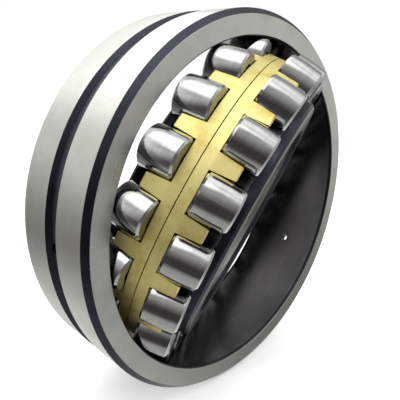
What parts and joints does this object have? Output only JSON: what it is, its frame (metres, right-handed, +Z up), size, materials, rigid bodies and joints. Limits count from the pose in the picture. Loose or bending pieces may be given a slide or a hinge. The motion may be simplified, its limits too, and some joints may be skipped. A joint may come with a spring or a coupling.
{
  "type": "spherical roller bearing",
  "caption": "Self-aligning roller bearing: grooved outer ring with a spherical raceway, two rows of barrel rollers in back-to-back brass comb cages, inner ring swung part way out.",
  "frame": {"origin": "centre of the outer ring, which is the centre of its spherical raceway", "axes": "Y along the outer ring's axis with its front face towards -Y; Z up, square to the ring's axis. The inner assembly's own axis is the mount shaft_bore's axis, turned 32.8 degrees from -Y."},
  "size_m": [0.12, 0.0802, 0.12],
  "materials": {
    "ring_steel": "ground, with blackened chamfers and groove",
    "guide_steel": "turned",
    "roller_steel": "superfinished",
    "cage_brass": "machined, satin"
  },
  "bodies": {
    "outer_ring": {"outer_ring": "ring_steel"},
    "guide_ring": {"guide_ring": "guide_steel"},
    "inner_ring": {"inner_ring": "ring_steel"},
    "front_cage": {"front_cage": "cage_brass"},
    "rear_cage": {"rear_cage": "cage_brass"},
    "front_roller_1": {"front_roller_1": "roller_steel"},
    "front_roller_2": {"front_roller_2": "roller_steel"},
    "front_roller_3": {"front_roller_3": "roller_steel"},
    "front_roller_4": {"front_roller_4": "roller_steel"},
    "front_roller_5": {"front_roller_5": "roller_steel"},
    "front_roller_6": {"front_roller_6": "roller_steel"},
    "front_roller_7": {"front_roller_7": "roller_steel"},
    "front_roller_8": {"front_roller_8": "roller_steel"},
    "front_roller_9": {"front_roller_9": "roller_steel"},
    "front_roller_10": {"front_roller_10": "roller_steel"},
    "front_roller_11": {"front_roller_11": "roller_steel"},
    "front_roller_12": {"front_roller_12": "roller_steel"},
    "front_roller_13": {"front_roller_13": "roller_steel"},
    "front_roller_14": {"front_roller_14": "roller_steel"},
    "front_roller_15": {"front_roller_15": "roller_steel"},
    "front_roller_16": {"front_roller_16": "roller_steel"},
    "front_roller_17": {"front_roller_17": "roller_steel"},
    "front_roller_18": {"front_roller_18": "roller_steel"},
    "front_roller_19": {"front_roller_19": "roller_steel"},
    "rear_roller_1": {"rear_roller_1": "roller_steel"},
    "rear_roller_2": {"rear_roller_2": "roller_steel"},
    "rear_roller_3": {"rear_roller_3": "roller_steel"},
    "rear_roller_4": {"rear_roller_4": "roller_steel"},
    "rear_roller_5": {"rear_roller_5": "roller_steel"},
    "rear_roller_6": {"rear_roller_6": "roller_steel"},
    "rear_roller_7": {"rear_roller_7": "roller_steel"},
    "rear_roller_8": {"rear_roller_8": "roller_steel"},
    "rear_roller_9": {"rear_roller_9": "roller_steel"},
    "rear_roller_10": {"rear_roller_10": "roller_steel"},
    "rear_roller_11": {"rear_roller_11": "roller_steel"},
    "rear_roller_12": {"rear_roller_12": "roller_steel"},
    "rear_roller_13": {"rear_roller_13": "roller_steel"},
    "rear_roller_14": {"rear_roller_14": "roller_steel"},
    "rear_roller_15": {"rear_roller_15": "roller_steel"},
    "rear_roller_16": {"rear_roller_16": "roller_steel"},
    "rear_roller_17": {"rear_roller_17": "roller_steel"},
    "rear_roller_18": {"rear_roller_18": "roller_steel"},
    "rear_roller_19": {"rear_roller_19": "roller_steel"}
  },
  "joints": [
    {"name": "swivel", "type": "hinge", "parent": "outer_ring", "child": "guide_ring", "pos_m": [0, 0, 0], "axis": [0.6157, 0, 0.788], "range_deg": [-122.8, 57.2]},
    {"name": "inner_spin", "type": "hinge", "parent": "guide_ring", "child": "inner_ring", "pos_m": [0, 0, 0], "axis": [0.4269, -0.8406, -0.3335], "continuous": true},
    {"name": "front_cage_spin", "type": "hinge", "parent": "guide_ring", "child": "front_cage", "pos_m": [0, 0, 0], "axis": [0.4269, -0.8406, -0.3335], "continuous": true},
    {"name": "rear_cage_spin", "type": "hinge", "parent": "guide_ring", "child": "rear_cage", "pos_m": [0, 0, 0], "axis": [0.4269, -0.8406, -0.3335], "continuous": true},
    {"name": "front_roller_1_spin", "type": "hinge", "parent": "front_cage", "child": "front_roller_1", "pos_m": [0.03822, 0.01875, -0.02281], "axis": [0.2974, -0.9194, -0.2574], "continuous": true},
    {"name": "front_roller_2_spin", "type": "hinge", "parent": "front_cage", "child": "front_roller_2", "pos_m": [0.0446, 0.01639, -0.00869], "axis": [0.2748, -0.911, -0.3075], "continuous": true},
    {"name": "front_roller_3_spin", "type": "hinge", "parent": "front_cage", "child": "front_roller_3", "pos_m": [0.04652, 0.0115, 0.00607], "axis": [0.268, -0.8937, -0.3599], "continuous": true},
    {"name": "front_roller_4_spin", "type": "hinge", "parent": "front_cage", "child": "front_roller_4", "pos_m": [0.04377, 0.00463, 0.01989], "axis": [0.2777, -0.8693, -0.409], "continuous": true},
    {"name": "front_roller_5_spin", "type": "hinge", "parent": "front_cage", "child": "front_roller_5", "pos_m": [0.03666, -0.00349, 0.03125], "axis": [0.3029, -0.8404, -0.4493], "continuous": true},
    {"name": "front_roller_6_spin", "type": "hinge", "parent": "front_cage", "child": "front_roller_6", "pos_m": [0.02596, -0.01197, 0.03893], "axis": [0.3409, -0.8103, -0.4766], "continuous": true},
    {"name": "front_roller_7_spin", "type": "hinge", "parent": "front_cage", "child": "front_roller_7", "pos_m": [0.01282, -0.01991, 0.0421], "axis": [0.3876, -0.7822, -0.4878], "continuous": true},
    {"name": "front_roller_8_spin", "type": "hinge", "parent": "front_cage", "child": "front_roller_8", "pos_m": [-0.00133, -0.02642, 0.04041], "axis": [0.4378, -0.759, -0.4818], "continuous": true},
    {"name": "front_roller_9_spin", "type": "hinge", "parent": "front_cage", "child": "front_roller_9", "pos_m": [-0.01496, -0.03082, 0.03405], "axis": [0.4862, -0.7434, -0.4593], "continuous": true},
    {"name": "front_roller_10_spin", "type": "hinge", "parent": "front_cage", "child": "front_roller_10", "pos_m": [-0.02659, -0.03262, 0.0237], "axis": [0.5275, -0.737, -0.4225], "continuous": true},
    {"name": "front_roller_11_spin", "type": "hinge", "parent": "front_cage", "child": "front_roller_11", "pos_m": [-0.03496, -0.03163, 0.01049], "axis": [0.5572, -0.7405, -0.3756], "continuous": true},
    {"name": "front_roller_12_spin", "type": "hinge", "parent": "front_cage", "child": "front_roller_12", "pos_m": [-0.03917, -0.02795, -0.00415], "axis": [0.5722, -0.7536, -0.3236], "continuous": true},
    {"name": "front_roller_13_spin", "type": "hinge", "parent": "front_cage", "child": "front_roller_13", "pos_m": [-0.03875, -0.02199, -0.01864], "axis": [0.5707, -0.7748, -0.2722], "continuous": true},
    {"name": "front_roller_14_spin", "type": "hinge", "parent": "front_cage", "child": "front_roller_14", "pos_m": [-0.03376, -0.01439, -0.0314], "axis": [0.5529, -0.8017, -0.2269], "continuous": true},
    {"name": "front_roller_15_spin", "type": "hinge", "parent": "front_cage", "child": "front_roller_15", "pos_m": [-0.02473, -0.00598, -0.04106], "axis": [0.5209, -0.8316, -0.1926], "continuous": true},
    {"name": "front_roller_16_spin", "type": "hinge", "parent": "front_cage", "child": "front_roller_16", "pos_m": [-0.01264, 0.00234, -0.04656], "axis": [0.478, -0.8612, -0.1731], "continuous": true},
    {"name": "front_roller_17_spin", "type": "hinge", "parent": "front_cage", "child": "front_roller_17", "pos_m": [0.00119, 0.00967, -0.04731], "axis": [0.4289, -0.8871, -0.1704], "continuous": true},
    {"name": "front_roller_18_spin", "type": "hinge", "parent": "front_cage", "child": "front_roller_18", "pos_m": [0.01528, 0.0152, -0.04323], "axis": [0.3789, -0.9068, -0.1849], "continuous": true},
    {"name": "front_roller_19_spin", "type": "hinge", "parent": "front_cage", "child": "front_roller_19", "pos_m": [0.02808, 0.01834, -0.03476], "axis": [0.3334, -0.9179, -0.215], "continuous": true},
    {"name": "rear_roller_1_spin", "type": "hinge", "parent": "rear_cage", "child": "rear_roller_1", "pos_m": [0.02855, 0.03265, -0.02125], "axis": [0.5345, -0.7369, -0.4138], "continuous": true},
    {"name": "rear_roller_2_spin", "type": "hinge", "parent": "rear_cage", "child": "rear_roller_2", "pos_m": [0.03616, 0.0311, -0.00764], "axis": [0.5615, -0.7424, -0.3655], "continuous": true},
    {"name": "rear_roller_3_spin", "type": "hinge", "parent": "rear_cage", "child": "rear_roller_3", "pos_m": [0.03946, 0.02693, 0.0071], "axis": [0.5732, -0.7572, -0.3132], "continuous": true},
    {"name": "rear_roller_4_spin", "type": "hinge", "parent": "rear_cage", "child": "rear_roller_4", "pos_m": [0.03811, 0.02059, 0.02137], "axis": [0.5684, -0.7797, -0.2625], "continuous": true},
    {"name": "rear_roller_5_spin", "type": "hinge", "parent": "rear_cage", "child": "rear_roller_5", "pos_m": [0.03225, 0.01275, 0.03361], "axis": [0.5476, -0.8076, -0.219], "continuous": true},
    {"name": "rear_roller_6_spin", "type": "hinge", "parent": "rear_cage", "child": "rear_roller_6", "pos_m": [0.02253, 0.00428, 0.04251], "axis": [0.5131, -0.8376, -0.1875], "continuous": true},
    {"name": "rear_roller_7_spin", "type": "hinge", "parent": "rear_cage", "child": "rear_roller_7", "pos_m": [0.00998, -0.00391, 0.0471], "axis": [0.4685, -0.8667, -0.1712], "continuous": true},
    {"name": "rear_roller_8_spin", "type": "hinge", "parent": "rear_cage", "child": "rear_roller_8", "pos_m": [-0.00403, -0.01093, 0.04687], "axis": [0.4188, -0.8916, -0.172], "continuous": true},
    {"name": "rear_roller_9_spin", "type": "hinge", "parent": "rear_cage", "child": "rear_roller_9", "pos_m": [-0.01798, -0.01603, 0.04187], "axis": [0.3693, -0.9097, -0.1897], "continuous": true},
    {"name": "rear_roller_10_spin", "type": "hinge", "parent": "rear_cage", "child": "rear_roller_10", "pos_m": [-0.03035, -0.01865, 0.03262], "axis": [0.3253, -0.919, -0.2226], "continuous": true},
    {"name": "rear_roller_11_spin", "type": "hinge", "parent": "rear_cage", "child": "rear_roller_11", "pos_m": [-0.03982, -0.0185, 0.02013], "axis": [0.2917, -0.9185, -0.2669], "continuous": true},
    {"name": "rear_roller_12_spin", "type": "hinge", "parent": "rear_cage", "child": "rear_roller_12", "pos_m": [-0.04535, -0.0156, 0.00575], "axis": [0.2721, -0.9082, -0.3179], "continuous": true},
    {"name": "rear_roller_13_spin", "type": "hinge", "parent": "rear_cage", "child": "rear_roller_13", "pos_m": [-0.04634, -0.01027, -0.00895], "axis": [0.2686, -0.8893, -0.3701], "continuous": true},
    {"name": "rear_roller_14_spin", "type": "hinge", "parent": "rear_cage", "child": "rear_roller_14", "pos_m": [-0.04269, -0.00308, -0.02239], "axis": [0.2816, -0.8638, -0.4179], "continuous": true},
    {"name": "rear_roller_15_spin", "type": "hinge", "parent": "rear_cage", "child": "rear_roller_15", "pos_m": [-0.03479, 0.00518, -0.03311], "axis": [0.3096, -0.8344, -0.4559], "continuous": true},
    {"name": "rear_roller_16_spin", "type": "hinge", "parent": "rear_cage", "child": "rear_roller_16", "pos_m": [-0.02349, 0.01363, -0.03994], "axis": [0.3497, -0.8045, -0.4802], "continuous": true},
    {"name": "rear_roller_17_spin", "type": "hinge", "parent": "rear_cage", "child": "rear_roller_17", "pos_m": [-0.01003, 0.02134, -0.04215], "axis": [0.3975, -0.7771, -0.488], "continuous": true},
    {"name": "rear_roller_18_spin", "type": "hinge", "parent": "rear_cage", "child": "rear_roller_18", "pos_m": [0.00414, 0.02749, -0.0395], "axis": [0.4478, -0.7553, -0.4786], "continuous": true},
    {"name": "rear_roller_19_spin", "type": "hinge", "parent": "rear_cage", "child": "rear_roller_19", "pos_m": [0.01748, 0.03139, -0.03227], "axis": [0.4952, -0.7414, -0.453], "continuous": true}
  ],
  "couplings": [
    {"joint": "front_cage_spin", "follows": "inner_spin", "ratio": 0.43582},
    {"joint": "rear_cage_spin", "follows": "inner_spin", "ratio": 0.43582},
    {"joint": "front_roller_1_spin", "follows": "inner_spin", "ratio": -3.7759},
    {"joint": "front_roller_2_spin", "follows": "inner_spin", "ratio": -3.7759},
    {"joint": "front_roller_3_spin", "follows": "inner_spin", "ratio": -3.7759},
    {"joint": "front_roller_4_spin", "follows": "inner_spin", "ratio": -3.7759},
    {"joint": "front_roller_5_spin", "follows": "inner_spin", "ratio": -3.7759},
    {"joint": "front_roller_6_spin", "follows": "inner_spin", "ratio": -3.7759},
    {"joint": "front_roller_7_spin", "follows": "inner_spin", "ratio": -3.7759},
    {"joint": "front_roller_8_spin", "follows": "inner_spin", "ratio": -3.7759},
    {"joint": "front_roller_9_spin", "follows": "inner_spin", "ratio": -3.7759},
    {"joint": "front_roller_10_spin", "follows": "inner_spin", "ratio": -3.7759},
    {"joint": "front_roller_11_spin", "follows": "inner_spin", "ratio": -3.7759},
    {"joint": "front_roller_12_spin", "follows": "inner_spin", "ratio": -3.7759},
    {"joint": "front_roller_13_spin", "follows": "inner_spin", "ratio": -3.7759},
    {"joint": "front_roller_14_spin", "follows": "inner_spin", "ratio": -3.7759},
    {"joint": "front_roller_15_spin", "follows": "inner_spin", "ratio": -3.7759},
    {"joint": "front_roller_16_spin", "follows": "inner_spin", "ratio": -3.7759},
    {"joint": "front_roller_17_spin", "follows": "inner_spin", "ratio": -3.7759},
    {"joint": "front_roller_18_spin", "follows": "inner_spin", "ratio": -3.7759},
    {"joint": "front_roller_19_spin", "follows": "inner_spin", "ratio": -3.7759},
    {"joint": "rear_roller_1_spin", "follows": "inner_spin", "ratio": -3.7759},
    {"joint": "rear_roller_2_spin", "follows": "inner_spin", "ratio": -3.7759},
    {"joint": "rear_roller_3_spin", "follows": "inner_spin", "ratio": -3.7759},
    {"joint": "rear_roller_4_spin", "follows": "inner_spin", "ratio": -3.7759},
    {"joint": "rear_roller_5_spin", "follows": "inner_spin", "ratio": -3.7759},
    {"joint": "rear_roller_6_spin", "follows": "inner_spin", "ratio": -3.7759},
    {"joint": "rear_roller_7_spin", "follows": "inner_spin", "ratio": -3.7759},
    {"joint": "rear_roller_8_spin", "follows": "inner_spin", "ratio": -3.7759},
    {"joint": "rear_roller_9_spin", "follows": "inner_spin", "ratio": -3.7759},
    {"joint": "rear_roller_10_spin", "follows": "inner_spin", "ratio": -3.7759},
    {"joint": "rear_roller_11_spin", "follows": "inner_spin", "ratio": -3.7759},
    {"joint": "rear_roller_12_spin", "follows": "inner_spin", "ratio": -3.7759},
    {"joint": "rear_roller_13_spin", "follows": "inner_spin", "ratio": -3.7759},
    {"joint": "rear_roller_14_spin", "follows": "inner_spin", "ratio": -3.7759},
    {"joint": "rear_roller_15_spin", "follows": "inner_spin", "ratio": -3.7759},
    {"joint": "rear_roller_16_spin", "follows": "inner_spin", "ratio": -3.7759},
    {"joint": "rear_roller_17_spin", "follows": "inner_spin", "ratio": -3.7759},
    {"joint": "rear_roller_18_spin", "follows": "inner_spin", "ratio": -3.7759},
    {"joint": "rear_roller_19_spin", "follows": "inner_spin", "ratio": -3.7759}
  ]
}
